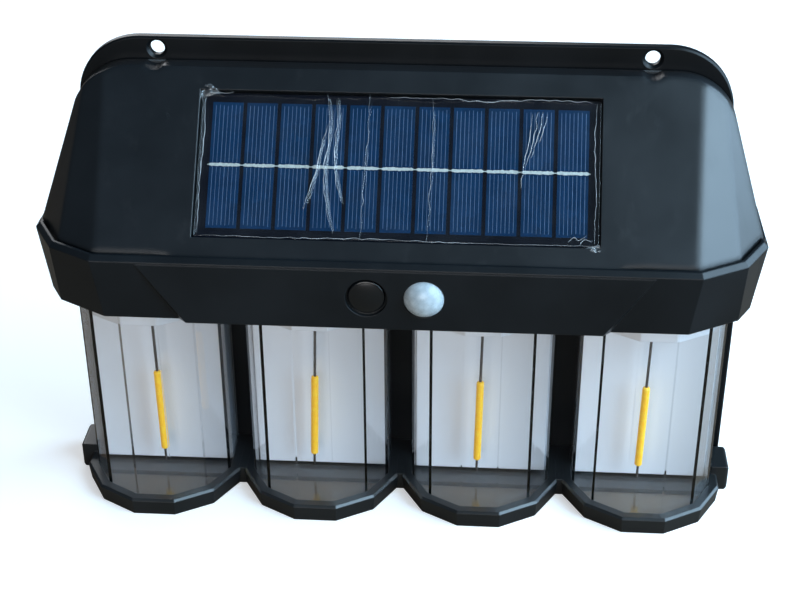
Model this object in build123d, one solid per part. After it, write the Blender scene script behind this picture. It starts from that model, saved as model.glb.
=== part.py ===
from build123d import *
from math import atan2, cos, degrees, radians, sin
import os

# Solar wall lantern: four faceted filament lamps stand on a lobed tray under a head that carries a
# sloped solar panel, a push button and a motion sensor. Everything is fixed to one back plate.
# Frame while modelling: X to the viewer's right, Y into the wall, Z up from the underside, millimetres.
# Each piece is written with its origin moved to the middle of the two wall screw holes.

# Lamp bays, half dodecagons in a row
PITCH = 50.0
BAY_X = [PITCH * k for k in (-1.5, -0.5, 0.5, 1.5)]
BAY_Y = -14.6
FACET_TURN = 30
HALF_FACET = FACET_TURN / 2

# Working allowances: overshoot of cuts, reach of trimming blocks and the gap between seated pieces
OVER = 1.0
FAR = 250.0
FIT = 0.1

# Back plate, its flange above the head and the two wall screw holes
PLATE_T = 2.5
PLATE_FRONT = -PLATE_T
PLATE_EDGE = 0.5
PLATE_HALF = 101.0
FLANGE_HALF = 93.8
SHOULDER_LOW = 96.0
SHOULDER_HIGH = 122.0
HEIGHT = 142.5
FLANGE_R = 19.0
HOLE_SPACING = 140.0
HOLE_Z = 139.0
HOLE_R = 2.15
HOLE_RIM_R = 3.0
HOLE_RIM_DEPTH = 0.8
NOTCH_R = 4.0

# Base tray
TRAY_H = 5.7
LOBE_APOTHEM = 24.4
LOBE_DRAFT = 6.0
TRAY_EDGE = 0.7
RAIL_FRONT = -10.5
RAIL_HALF = 99.9
WEB_HALF = 1.2
WEB_FRONT = -20.8
TRAY_FLOOR = 1.6
WINDOW_APOTHEM = 19.2
WINDOW_BACK = -19.0
LUG_HALF = 103.0
LUG_INNER = 97.5
LUG_FRONT = -15.0
LUG_BACK = -4.0
LUG_H = 8.5
LUG_R = 1.2
TRAY_PILOT_END = -9.8

# Clear shades
SHADE_APOTHEM = 21.2
SHADE_WALL = 1.5
SHADE_BACK = -4.0
SHADE_FLOOR_T = 1.4

# White lamp inserts: a reflector sheet with a skirted roof
INSERT_APOTHEM = SHADE_APOTHEM - SHADE_WALL - FIT
INSERT_WALL = 1.2
INSERT_BACK = -11.9
SKIRT_Z = 66.0
INSERT_FOOT_GAP = 0.6

# Filaments and their leads
FILAMENT_Y = -18.5
FILAMENT_LOW = 11.1
FILAMENT_HIGH = 40.2
FILAMENT_R = 1.15
FILAMENT_END_R = 0.7
FILAMENT_LEAN = (0.3, -1.9, -0.9, -0.8)
UPPER_LEAD_R = 0.42
LOWER_LEAD_R = 0.4
LOWER_LEAD_Z = 6.8
LEAD_TOP = 79.5
SOCKET_R = 2.6
SOCKET_LOW = 73.5
SOCKET_FLANGE_R = 4.2
SOCKET_FLANGE_T = 1.5
SOCKET_BORE_R = 0.72

# Deck, the floor of the head
DECK_LOW = 77.0
DECK_T = 1.8
DECK_TOP = DECK_LOW + DECK_T
DECK_INSET = 5.4
DECK_BLOCK = 8.0
DECK_BLOCK_H = 8.0
DECK_SCREW_X = 50.0
DECK_SCREW_Z = 83.0

# Head outline: distances from the wall plane's middle to the faces that look 0, 30, 60 and 90 degrees
# away from straight ahead
FACE_TURNS = (0, 30, 60, 90)
HEAD_FOOT_Z = 75.6
RIM_Z = 94.35
RIM_TOP_Z = 95.7
COVER_TOP_Z = 136.0
HEAD_FOOT = (45.4, 80.1, 101.7, 100.2)
RIM = (47.5, 83.0, 103.7, 103.5)
RIM_BEVEL = 1.3
COVER_INSET = (2.6, 2.6, 2.6, 0.7)
COVER_FOOT = tuple(d - gap for d, gap in zip(RIM, COVER_INSET))
COVER_CREST = (7.95, 49.1, 80.24, 90.3)
COVER_SEAT = RIM_Z - FIT
WALL = 2.0
COVER_WALLS = (2.7, 2.5, 2.2, 1.6)
CREST_R = 18.0
CREST_CLEAR = 0.2
GASKET_T = 0.8
GASKET_FOOT = (98.6, 76.2)
GASKET_INSET = 0.4
GASKET_SHOULDER = 100.5
SHELL_BACK = PLATE_FRONT - GASKET_T
BEHIND = 5.0
LEDGE_LOW = 91.6
LEDGE_RING = (1.0, 5.6)
FOOT_LEDGE_T = 1.2
FOOT_RING = (3.5, 7.0)

# Raised pad on the fascia, a trapezium that carries button and sensor
PAD_Y = -47.6
PAD_FOOT_HALF = 58.0
PAD_TOP_HALF = 71.0
PAD_TOP_Z = 93.8
PAD_RAMP = 2.6

# Button and sensor
CONTROL_Z = 85.4
BUTTON_X = -7.3
BUTTON_R = 5.25
BUTTON_MOUTH_R = 5.8
BUTTON_MOUTH_DEPTH = 1.2
RUNNING_GAP = 0.05
BUTTON_FRONT = -47.2
BUTTON_DOME = 0.7
BUTTON_EDGE_R = 0.8
GUIDE_R = 6.5
GUIDE_BACK = -41.5
BUTTON_NECK = -42.5
BUTTON_FLANGE_R = 6.4
BUTTON_FLANGE_T = 0.9
STEM_R = 1.5
BUTTON_TRAVEL = 1.2
SENSOR_X = 8.6
LENS_R = 5.6
LENS_WALL = 0.8
LENS_SHOULDER = -47.3
LENS_DOME = 3.4
DOME_POINT = (0.72, 0.62)
LENS_FLANGE_R = 6.7
LENS_SEAT = -44.9
LENS_FLANGE_T = 1.0
LENS_POCKET_GAP = 0.3
CAN_R = 4.4
CAN_FRONT = -40.2
CAN_BRIM_R = 4.7
CAN_BRIM_T = 0.6

# Control board, upright behind the fascia
BOARD_FRONT = -35.1
BOARD_T = 1.6
BOARD_BACK = BOARD_FRONT + BOARD_T
BOARD_HALF = 29.0
BOARD_LOW = 79.4
BOARD_HIGH = 94.9
BOARD_SCREW_X = 25.5
BOARD_SCREW_Z = BOARD_LOW + 3.3
STANDOFF_R = 2.3
SWITCH_W = 6.0
SWITCH_FRONT = -38.6
PLUNGER_R = 1.75
PLUNGER_FRONT = -40.0
PLUNGER_BACK = -38.0
PLUNGER_BORE_END = PLUNGER_BACK + BUTTON_TRAVEL + 0.6
CHIP_X = (-14.0, -4.0)
CHIP_SIZE = (5.0, 1.5, 4.0)
COIL_X = 6.5
COIL_SIZE = (5.0, 2.8, 4.0)
PART_Z = 87.0
CAPACITOR_X = (14.0, 20.0)
CAPACITOR_R = 2.2
CAPACITOR_H = 4.5

# Rechargeable cell, lying along X, and its holder
CELL_R = 9.1
CELL_LENGTH = 65.2
CELL_EDGE_R = 0.6
CELL_BUTTON_R = 2.8
CELL_BUTTON_H = 1.2
CELL_LEFT = -31.8
CELL_Y = -16.5
CELL_Z = 94.0
HOLDER_HALF = 38.0
HOLDER_LEFT_END = -36.0
HOLDER_RIGHT_END = 34.1
HOLDER_FRONT = -27.2
HOLDER_REAR = -5.8
HOLDER_LOW = 82.4
HOLDER_RIM = 4.0
HOLDER_END = 6.0
HOLDER_SIDE_CUT = -1.0
HOLDER_MOUTH_HALF = 6.0
HOLDER_FOOT_R = 2.4
HOLDER_FOOT_INSET = 3.0
CELL_PLAY = 0.25
CONTACT_T = 0.4
CONTACT_W = 9.0
SPRING_R = 3.2
SPRING_WIRE_R = 0.4
SPRING_TURNS = 2.5
SPRING_GAP = 0.45

# Solar panel, measured from the cover's slope along its outward normal
CELL_COUNT = 11
CELL_PITCH = 9.67
CELL_GAP = 1.1
PANEL_H = 36.3
RECESS_W = 112.4
RECESS_H = 42.6
PANEL_Z = 115.1
CELL_TOP = -1.6
CELL_T = 0.2
TABBING_W = 1.5
TABBING_T = 0.1
RESIN_T = 0.45
FILM_LEVEL = -0.85
FILM_T = 0.08
FILM_MARGIN = 0.2
PANEL_MARGIN = 0.4
BOARD_PANEL_T = 1.6
POCKET_TOP = -0.5
POCKET_DEPTH = 3.6
POCKET_FLOOR = 1.5
POCKET_RIM = 2.0
WIRE_HOLE_R = 2.8

# Screws: one size for the head and the deck, a smaller one for the tray and the board
BIG_SCREW = dict(head_r=2.8, head_t=1.4, shank_r=1.45, length=12.0)
SMALL_SCREW = dict(head_r=2.2, head_t=1.4, shank_r=1.15, length=7.5)
BOARD_SCREW = dict(head_r=1.8, head_t=1.2, shank_r=0.9, length=6.0)
CROSS_HALF = 0.6
CROSS_WIDTH = 0.11
CROSS_DEPTH = 0.5
COUNTERBORE = 1.6
HEAD_RELIEF = 0.15
HEAD_PLAY = 0.3
SCREW_FIT = 0.05
BOSS_R = 3.3
COVER_BOSS = (68.0, 124.0)
FASCIA_BOSS = (97.6, 86.0)
BOSS_DEPTH = 14.0
COVER_BOSS_DEPTH = 20.0
DECK_BLOCK_DEPTH = 16.0
TRAY_SCREW_X = (-PITCH, 0.0, PITCH)
TRAY_SCREW_Z = 2.9

# Wires
WIRE_R = 0.55
WIRE_LIFT = 0.7
PANEL_WIRE_X = (-1.3, 1.3)
PANEL_WIRE_RUN = ((-23.5, 105.0), (-30.6, 99.8))
BATTERY_WIRE_LEFT = (-35.3, -35.6, -33.0, -27.0)
BATTERY_WIRE_RIGHT = (34.0, 36.0, 33.5, 27.0)
BATTERY_WIRE_RUN = ((-24.0, 101.5), (-31.0, 99.0))
LAMP_WIRE_BEND_Y = -26.0
LAMP_WIRE_FRONT_Y = -30.2
LAMP_WIRE_OUTER = (40.0, -31.0)
LAMP_WIRE_INNER_END = 17.0
LAMP_WIRE_OUTER_END = 21.0
LAMP_WIRE_END_Z = 81.0


# ---- shapes used by several pieces ----

def prism(points, low, high):
    """Vertical prism on a plan outline."""
    face = Pos(0, 0, low) * make_face(Polyline(*points, close=True))
    return extrude(face, amount=high - low, dir=(0, 0, 1))


def block(x_range, y_range, z_range):
    """Box from its three ranges."""
    size = [high - low for low, high in (x_range, y_range, z_range)]
    middle = [(high + low) / 2 for low, high in (x_range, y_range, z_range)]
    return Pos(*middle) * Box(*size)


def rod(x, z, radius, front, back):
    """Round rod along Y."""
    return extrude(Plane((x, front, z), z_dir=(0, 1, 0)) * Circle(radius), amount=back - front)


def post(x, y, radius, low, high):
    """Upright round post."""
    return extrude(Plane((x, y, low)) * Circle(radius), amount=high - low)


def turned(x, z, profile):
    """Solid turned about an axis along Y, from (radius, Y) points."""
    face = make_face(Polyline(*[(x + r, y, z) for r, y in profile], close=True))
    return revolve(face, axis=Axis((x, 0, z), (0, 1, 0)), revolution_arc=360)


def wire(points, radius=WIRE_R):
    """Round wire along a smooth curve."""
    path = Spline(*points)
    start = Plane(path @ 0, z_dir=path % 0)
    return sweep(start * Circle(radius), path=path)


def bay_outline(apothem, back):
    """Plan outline of one bay about X = 0: five front facets, then straight sides to the back."""
    corner = apothem / cos(radians(HALF_FACET))
    turns = [HALF_FACET + FACET_TURN * k for k in range(-3, 3)]
    front = [(corner * sin(radians(a)), BAY_Y - corner * cos(radians(a))) for a in turns]
    return [(-apothem, back)] + front + [(apothem, back)]


def plan_outline(distances):
    """Plan outline of the head from its faces' distances, open towards the wall."""
    right = []
    for k in range(len(FACE_TURNS) - 1):
        a, b = radians(FACE_TURNS[k]), radians(FACE_TURNS[k + 1])
        d, e = distances[k], distances[k + 1]
        turn = sin(b - a)
        right.append(((e * cos(a) - d * cos(b)) / turn, (e * sin(a) - d * sin(b)) / turn))
    right.append((distances[-1], BEHIND))
    return right + [(-x, y) for x, y in reversed(right)]


def head_loft(*levels):
    """Solid through plan outlines given as (height, distances)."""
    faces = [Pos(0, 0, z) * make_face(Polyline(*plan_outline(d), close=True)) for z, d in levels]
    return loft(faces, ruled=True)


def inset(distances, amount):
    """The same faces, all moved inwards."""
    return tuple(d - amount for d in distances)


def between(low, high, z):
    """Distances at height z on the line through two (height, distances) levels."""
    share = (z - low[0]) / (high[0] - low[0])
    return tuple(a + (b - a) * share for a, b in zip(low[1], high[1]))


def in_front_of(solid, y):
    """The part of a solid on the viewer's side of a plane parallel to the wall."""
    return solid & block((-FAR, FAR), (-FAR, y), (-FAR, FAR))


def wall_outline(points, corner_radius, front):
    """Plate parallel to the wall from X, Z points, its top corners rounded, with its back at Y = 0."""
    face = make_face(Polyline(*points, close=True))
    face = fillet(face.vertices().group_by(Axis.Y)[-1], corner_radius)
    return extrude(Plane.XZ * face, amount=-front)


def crest(amount):
    """Front view of the cover with rounded top corners, moved inwards by an amount."""
    foot = COVER_FOOT[-1] + CREST_CLEAR - amount
    top = COVER_CREST[-1] + CREST_CLEAR - amount
    right = [(foot, 0), (foot, RIM_Z), (top, COVER_TOP_Z - amount)]
    points = right + [(-x, z) for x, z in reversed(right)]
    return wall_outline(points, CREST_R - amount, -FAR)


def screw(x, y, z, head_r, head_t, shank_r, length):
    """Pan head screw that points away from the wall, the back of its head at Y = y."""
    body = rod(x, z, head_r, y - head_t, y) + rod(x, z, shank_r, y - head_t - length, y - head_t)
    slot = (-head_r * CROSS_HALF, head_r * CROSS_HALF)
    width = (-head_r * CROSS_WIDTH, head_r * CROSS_WIDTH)
    for across, up in ((slot, width), (width, slot)):
        body -= Pos(x, y, z) * block(across, (-head_t * CROSS_DEPTH, OVER), up)
    return body


# ---- shells ----

def back_plate():
    """Flat plate with a rounded flange, wall screw holes and counterbores for the housing screws."""
    right = [(PLATE_HALF, SHOULDER_LOW), (FLANGE_HALF, SHOULDER_HIGH), (FLANGE_HALF, HEIGHT)]
    points = [(-PLATE_HALF, 0), (PLATE_HALF, 0)] + right + [(-x, z) for x, z in reversed(right)]
    plate = wall_outline(points, FLANGE_R, PLATE_FRONT)
    plate = chamfer(plate.faces().sort_by(Axis.Y)[0].edges(), PLATE_EDGE)
    for side in (-1, 1):
        x = side * HOLE_SPACING / 2
        rim = [(0, PLATE_FRONT - FIT), (HOLE_RIM_R, PLATE_FRONT - FIT), (HOLE_RIM_R, PLATE_FRONT),
               (HOLE_R, PLATE_FRONT + HOLE_RIM_DEPTH), (0, PLATE_FRONT + HOLE_RIM_DEPTH)]
        plate -= rod(x, HOLE_Z, HOLE_R, PLATE_FRONT - OVER, OVER) + turned(x, HOLE_Z, rim)
    for x, z in big_screw_places():
        plate -= screw_hole(x, z, BIG_SCREW)
    for x in TRAY_SCREW_X:
        plate -= screw_hole(x, TRAY_SCREW_Z, SMALL_SCREW)
    return plate


def screw_hole(x, z, size):
    """Shank hole through the back plate with a counterbore that sinks the head."""
    shank = rod(x, z, size["shank_r"] + FIT, PLATE_FRONT - OVER, OVER)
    return shank + rod(x, z, size["head_r"] + HEAD_PLAY, -COUNTERBORE, OVER)


def big_screw_places():
    """X and Z of the six screws that hold cover, fascia and deck to the back plate."""
    right = (COVER_BOSS, FASCIA_BOSS, (DECK_SCREW_X, DECK_SCREW_Z))
    return [(side * x, z) for x, z in right for side in (-1, 1)]


def pilot(x, z, size):
    """Hole in a boss for a screw's shank."""
    end = -COUNTERBORE - size["length"] - OVER
    return rod(x, z, size["shank_r"] + SCREW_FIT, end, OVER)


def cover_outside():
    """Head cover as a full solid: sloped front, side facets and rounded top corners."""
    foot, top = (RIM_Z, COVER_FOOT), (COVER_TOP_Z, COVER_CREST)
    return in_front_of(head_loft(foot, top) & crest(0), SHELL_BACK)


def cover_inside():
    """Hollow of the head cover, open towards the wall and below."""
    foot = (RIM_Z, tuple(d - w for d, w in zip(COVER_FOOT, COVER_WALLS)))
    top = (COVER_TOP_Z, tuple(d - w for d, w in zip(COVER_CREST, COVER_WALLS)))
    high = COVER_TOP_Z - WALL
    low = RIM_Z - OVER
    return head_loft((low, between(foot, top, low)), (high, between(foot, top, high))) & crest(WALL)


def slope_frame():
    """Plane on the cover's slope at the panel's middle, X across and Y up the slope."""
    run = COVER_FOOT[0] - COVER_CREST[0]
    rise = COVER_TOP_Z - RIM_Z
    tilt = atan2(rise, run)
    y = -COVER_FOOT[0] + run * (PANEL_Z - RIM_Z) / rise
    return Plane((0, y, PANEL_Z), x_dir=(1, 0, 0), z_dir=(0, -sin(tilt), cos(tilt)))


def slab(width, height, low, high, x=0, y=0):
    """Plate parallel to the slope between two levels."""
    return slope_frame() * Pos(x, y, (low + high) / 2) * Box(width, height, high - low)


def head_cover():
    """Upper shell with the panel's pocket, two screw bosses and two screwdriver notches."""
    outside = cover_outside()
    shell = outside - cover_inside()
    pocket_low = -POCKET_DEPTH - POCKET_FLOOR
    tray = slab(RECESS_W + 2 * POCKET_RIM, RECESS_H + 2 * POCKET_RIM, pocket_low, POCKET_TOP)
    shell += tray & outside
    for side in (-1, 1):
        shell += rod(side * COVER_BOSS[0], COVER_BOSS[1], BOSS_R, -COVER_BOSS_DEPTH, SHELL_BACK) & outside
    shell -= slab(RECESS_W, RECESS_H, -POCKET_DEPTH, OVER)
    shell -= slope_frame() * Cylinder(WIRE_HOLE_R, COVER_BOSS_DEPTH)
    for side in (-1, 1):
        shell -= pilot(side * COVER_BOSS[0], COVER_BOSS[1], BIG_SCREW)
        shell -= rod(side * HOLE_SPACING / 2, HOLE_Z, NOTCH_R, -COVER_BOSS_DEPTH, OVER)
    return shell


def fascia_ring(insets, low, high):
    """Flat ring inside the fascia between two insets from the rim, outer one first."""
    outer, inner = [inset(RIM, amount) for amount in insets]
    return head_loft((low, outer), (high, outer)) - head_loft((low - OVER, inner), (high + OVER, inner))


def fascia_pad():
    """Raised trapezium, flush with the rim at its top, standing proud at its foot."""
    def outline(y, grow):
        half = [(PAD_FOOT_HALF + grow, HEAD_FOOT_Z), (PAD_TOP_HALF + grow, PAD_TOP_Z)]
        loop = half + [(-x, z) for x, z in reversed(half)]
        return make_face(Polyline(*[(x, y, z) for x, z in loop], close=True))
    return loft([outline(PAD_Y, 0), outline(PAD_Y + PAD_RAMP, PAD_RAMP)], ruled=True)


def fascia_housing():
    """Front band: tapers inwards below the rim, with pad, ledges, control bores and screw bosses."""
    foot, rim = (HEAD_FOOT_Z, HEAD_FOOT), (RIM_Z, RIM)
    shell = head_loft(foot, rim, (RIM_TOP_Z, inset(RIM, RIM_BEVEL)))
    shell += fascia_pad()
    low, high = HEAD_FOOT_Z - OVER, RIM_TOP_Z + OVER
    shell -= head_loft((low, inset(between(foot, rim, low), WALL)), (high, inset(RIM, WALL)))
    seat = tuple(d + FIT for d in COVER_FOOT[:-1]) + (RIM[-1] + OVER,)
    shell -= head_loft((COVER_SEAT, seat), (high, seat))
    shell += fascia_ring(LEDGE_RING, LEDGE_LOW, COVER_SEAT)
    shell += fascia_ring(FOOT_RING, HEAD_FOOT_Z, HEAD_FOOT_Z + FOOT_LEDGE_T)
    for side in (-1, 1):
        shell += rod(side * FASCIA_BOSS[0], FASCIA_BOSS[1], BOSS_R, -BOSS_DEPTH, SHELL_BACK)
        shell += rod(side * BOARD_SCREW_X, BOARD_SCREW_Z, STANDOFF_R, PAD_Y + WALL, BOARD_FRONT)
    shell += rod(BUTTON_X, CONTROL_Z, GUIDE_R, PAD_Y + WALL / 2, GUIDE_BACK)
    shell = in_front_of(shell, SHELL_BACK)
    shell -= rod(BUTTON_X, CONTROL_Z, BUTTON_R + RUNNING_GAP, PAD_Y - OVER, GUIDE_BACK + OVER)
    shell -= rod(BUTTON_X, CONTROL_Z, BUTTON_MOUTH_R, PAD_Y - OVER, PAD_Y + BUTTON_MOUTH_DEPTH)
    shell -= rod(SENSOR_X, CONTROL_Z, LENS_R + FIT, PAD_Y - OVER, GUIDE_BACK)
    shell -= rod(SENSOR_X, CONTROL_Z, LENS_FLANGE_R + LENS_POCKET_GAP, LENS_SEAT, GUIDE_BACK + 2 * OVER)
    for side in (-1, 1):
        shell -= pilot(side * FASCIA_BOSS[0], FASCIA_BOSS[1], BIG_SCREW)
        shell -= board_hole(side, SCREW_FIT, BOARD_BACK - BOARD_SCREW["length"] - OVER)
    return shell


def board_hole(side, play, front):
    """Hole for one of the board's screws."""
    return rod(side * BOARD_SCREW_X, BOARD_SCREW_Z, BOARD_SCREW["shank_r"] + play, front, BOARD_BACK + OVER)


def lamp_deck():
    """Floor of the head with a hole over each lamp and two blocks for its screws."""
    deck = head_loft((DECK_LOW, inset(RIM, DECK_INSET)), (DECK_TOP, inset(RIM, DECK_INSET)))
    deck = in_front_of(deck, SHELL_BACK)
    for side in (-1, 1):
        middle = side * DECK_SCREW_X
        block_x = (middle - DECK_BLOCK / 2, middle + DECK_BLOCK / 2)
        deck += block(block_x, (-DECK_BLOCK_DEPTH, SHELL_BACK), (DECK_TOP, DECK_TOP + DECK_BLOCK_H))
        deck -= pilot(middle, DECK_SCREW_Z, BIG_SCREW)
    for x in BAY_X:
        deck -= post(x, FILAMENT_Y, SOCKET_R + FIT, DECK_LOW - OVER, DECK_TOP + OVER)
    return deck


def base_tray():
    """Four drafted lobes joined by webs and a back rail, with shade pockets, windows and side lugs."""
    crown = make_face(Polyline(*bay_outline(LOBE_APOTHEM, PLATE_FRONT), close=True))
    lobe = extrude(Pos(0, 0, TRAY_H) * crown, amount=-TRAY_H, taper=LOBE_DRAFT)
    lobe = chamfer(lobe.edges().group_by(Axis.Z)[-1], TRAY_EDGE)
    tray = block((-RAIL_HALF, RAIL_HALF), (RAIL_FRONT, PLATE_FRONT), (0, TRAY_H))
    for side in (-1, 1):
        ends = sorted((side * LUG_INNER, side * LUG_HALF))
        lug = block(ends, (LUG_FRONT, LUG_BACK), (0, LUG_H))
        outer = lug.faces().sort_by(Axis.X)[0 if side < 0 else -1]
        tray += fillet(outer.edges(), LUG_R)
    for x in BAY_X:
        tray += Pos(x, 0, 0) * lobe
    pocket = prism(bay_outline(SHADE_APOTHEM + FIT, SHADE_BACK + 2 * FIT), TRAY_FLOOR, LUG_H + OVER)
    window = prism(bay_outline(WINDOW_APOTHEM, WINDOW_BACK), -OVER, TRAY_FLOOR + OVER)
    for x in BAY_X:
        tray -= Pos(x, 0, 0) * (pocket + window)
    for x in TRAY_SCREW_X:
        tray += block((x - WEB_HALF, x + WEB_HALF), (WEB_FRONT, PLATE_FRONT), (0, TRAY_H))
        tray -= rod(x, TRAY_SCREW_Z, SMALL_SCREW["shank_r"] + SCREW_FIT, TRAY_PILOT_END, OVER)
    return tray


def head_gasket():
    """Flat seal between the back plate and the rear edges of cover and fascia."""
    def ring(amount):
        right = [(GASKET_FOOT[0] - amount, GASKET_FOOT[1] + amount),
                 (GASKET_SHOULDER - amount, RIM_Z),
                 (COVER_CREST[-1] - GASKET_INSET - amount, COVER_TOP_Z - GASKET_INSET - amount)]
        points = right + [(-x, z) for x, z in reversed(right)]
        return wall_outline(points, CREST_R - amount, -FAR)
    band = ring(0) - ring(WALL)
    band = in_front_of(band, PLATE_FRONT) - in_front_of(band, SHELL_BACK)
    for x, z in big_screw_places():
        band -= rod(x, z, BIG_SCREW["shank_r"] + 2 * FIT, SHELL_BACK - OVER, PLATE_FRONT + OVER)
    return band


# ---- lamps ----

def shade():
    """Clear half-dodecagon shade with a floor, open at the back and the top."""
    low, high = TRAY_FLOOR + FIT, DECK_LOW - FIT
    outer = prism(bay_outline(SHADE_APOTHEM, SHADE_BACK), low, high)
    inner = bay_outline(SHADE_APOTHEM - SHADE_WALL, SHADE_BACK + OVER)
    return outer - prism(inner, low + SHADE_FLOOR_T, high + OVER)


def lamp_insert():
    """White reflector sheet with a side wing at each end, a roof and a skirt behind the facets."""
    high = DECK_LOW - FIT
    roof = prism(bay_outline(INSERT_APOTHEM, INSERT_BACK), SKIRT_Z, high)
    hollow = bay_outline(INSERT_APOTHEM - INSERT_WALL, INSERT_BACK - INSERT_WALL)
    roof -= prism(hollow, SKIRT_Z - OVER, high - INSERT_WALL)
    roof -= post(0, FILAMENT_Y, SOCKET_R + FIT, SKIRT_Z, high + OVER)
    foot = TRAY_FLOOR + SHADE_FLOOR_T + INSERT_FOOT_GAP
    sides = (-INSERT_APOTHEM, INSERT_APOTHEM)
    sheet = roof + block(sides, (INSERT_BACK - INSERT_WALL, INSERT_BACK), (foot, SKIRT_Z + OVER))
    for side in (-1, 1):
        wing = sorted((side * (INSERT_APOTHEM - INSERT_WALL), side * INSERT_APOTHEM))
        sheet += block(wing, (INSERT_BACK - INSERT_WALL, SHADE_BACK - FIT), (foot, high))
    return sheet


def leaning(piece, angle):
    """A piece swung sideways about the foot of its socket."""
    return Pos(0, FILAMENT_Y, SOCKET_LOW) * Rot(0, -angle, 0) * Pos(0, -FILAMENT_Y, -SOCKET_LOW) * piece


def filament(angle):
    """Coated LED rod with rounded ends."""
    body = post(0, FILAMENT_Y, FILAMENT_R, FILAMENT_LOW, FILAMENT_HIGH)
    return leaning(fillet(body.edges(), FILAMENT_END_R), angle)


def filament_lead_pair(angle):
    """Stiff upper lead up into the socket and the short tail below."""
    upper = post(0, FILAMENT_Y, UPPER_LEAD_R, FILAMENT_HIGH, LEAD_TOP)
    lower = post(0, FILAMENT_Y, LOWER_LEAD_R, LOWER_LEAD_Z, FILAMENT_LOW)
    return leaning(upper, angle), leaning(lower, angle)


def filament_socket():
    """Flanged bush that holds a lead in the deck."""
    body = post(0, FILAMENT_Y, SOCKET_R, SOCKET_LOW, DECK_TOP + SOCKET_FLANGE_T)
    body += post(0, FILAMENT_Y, SOCKET_FLANGE_R, DECK_TOP, DECK_TOP + SOCKET_FLANGE_T)
    return body - post(0, FILAMENT_Y, SOCKET_BORE_R, SOCKET_LOW - OVER, DECK_TOP + SOCKET_FLANGE_T + OVER)


# ---- solar panel ----

def solar_board():
    """Black board under the cells."""
    high = CELL_TOP - CELL_T
    width, height = RECESS_W - 2 * PANEL_MARGIN, RECESS_H - 2 * PANEL_MARGIN
    return slab(width, height, high - BOARD_PANEL_T, high)


def solar_cells():
    """Row of narrow cells with gaps between them."""
    places = [CELL_PITCH * (k - (CELL_COUNT - 1) / 2) for k in range(CELL_COUNT)]
    return [slab(CELL_PITCH - CELL_GAP, PANEL_H, CELL_TOP - CELL_T, CELL_TOP, x=x) for x in places]


def cell_tabbing():
    """Flat ribbon soldered across the middle of all cells."""
    length = CELL_PITCH * CELL_COUNT + CELL_GAP
    return slab(length, TABBING_W, CELL_TOP, CELL_TOP + TABBING_T)


def panel_resin():
    """Clear resin sheet over the cells."""
    low = CELL_TOP + TABBING_T
    return slab(RECESS_W - 2 * PANEL_MARGIN, RECESS_H - 2 * PANEL_MARGIN, low, low + RESIN_T)


def panel_film():
    """Protective film that bridges the recess."""
    return slab(RECESS_W - 2 * FILM_MARGIN, RECESS_H - 2 * FILM_MARGIN, FILM_LEVEL, FILM_LEVEL + FILM_T)


# ---- controls and electronics ----

def push_button():
    """Domed cap in a guide, held by a flange, with a stem towards the switch."""
    crown = BUTTON_FRONT - BUTTON_DOME
    shoulder, edge = (BUTTON_R - BUTTON_EDGE_R, BUTTON_FRONT), (BUTTON_R, BUTTON_FRONT + BUTTON_EDGE_R)
    top = ThreePointArc((0, crown), (shoulder[0] / 2, crown + BUTTON_DOME / 4), shoulder)
    corner = RadiusArc(shoulder, edge, -BUTTON_EDGE_R)
    side = Polyline(edge, (BUTTON_R, BUTTON_NECK), (0, BUTTON_NECK), (0, crown))
    cap = revolve(make_face(top + corner + side), axis=Axis.Y, revolution_arc=360)
    flange_front = GUIDE_BACK + RUNNING_GAP
    cap += rod(0, 0, BUTTON_R, BUTTON_NECK, flange_front)
    cap += rod(0, 0, BUTTON_FLANGE_R, flange_front, flange_front + BUTTON_FLANGE_T)
    cap += rod(0, 0, STEM_R, flange_front, PLUNGER_FRONT - RUNNING_GAP)
    return Pos(BUTTON_X, 0, CONTROL_Z) * cap


def switch_body():
    """Switch on the board with a bore for its plunger."""
    half = SWITCH_W / 2
    x_range, z_range = (BUTTON_X - half, BUTTON_X + half), (CONTROL_Z - half, CONTROL_Z + half)
    body = block(x_range, (SWITCH_FRONT, BOARD_FRONT), z_range)
    bore_r = PLUNGER_R + RUNNING_GAP
    return body - rod(BUTTON_X, CONTROL_Z, bore_r, SWITCH_FRONT - OVER, PLUNGER_BORE_END)


def switch_plunger():
    """Plunger that the button's stem pushes."""
    return rod(BUTTON_X, CONTROL_Z, PLUNGER_R, PLUNGER_FRONT, PLUNGER_BACK)


def dome(radius, shoulder, height):
    """Closed half profile of a domed cap from its shoulder to its crown, as a solid towards the viewer."""
    crown, back = shoulder - height, LENS_SEAT + LENS_FLANGE_T + OVER
    bulge = (radius * DOME_POINT[0], shoulder - height * DOME_POINT[1])
    arc = ThreePointArc((0, crown), bulge, (radius, shoulder))
    side = Polyline((radius, shoulder), (radius, back), (0, back), (0, crown))
    return revolve(make_face(arc + side), axis=Axis.Y, revolution_arc=360)


def sensor_lens():
    """Domed lens with a flange behind the fascia."""
    outer = in_front_of(dome(LENS_R, LENS_SHOULDER, LENS_DOME), LENS_SEAT + LENS_FLANGE_T)
    outer += rod(0, 0, LENS_FLANGE_R, LENS_SEAT, LENS_SEAT + LENS_FLANGE_T)
    inner = dome(LENS_R - LENS_WALL, LENS_SHOULDER, LENS_DOME - LENS_WALL)
    return Pos(SENSOR_X, 0, CONTROL_Z) * (outer - inner)


def motion_sensor():
    """Metal can of the sensor on the board."""
    can = rod(SENSOR_X, CONTROL_Z, CAN_R, CAN_FRONT, BOARD_FRONT - CAN_BRIM_T)
    return can + rod(SENSOR_X, CONTROL_Z, CAN_BRIM_R, BOARD_FRONT - CAN_BRIM_T, BOARD_FRONT)


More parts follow.
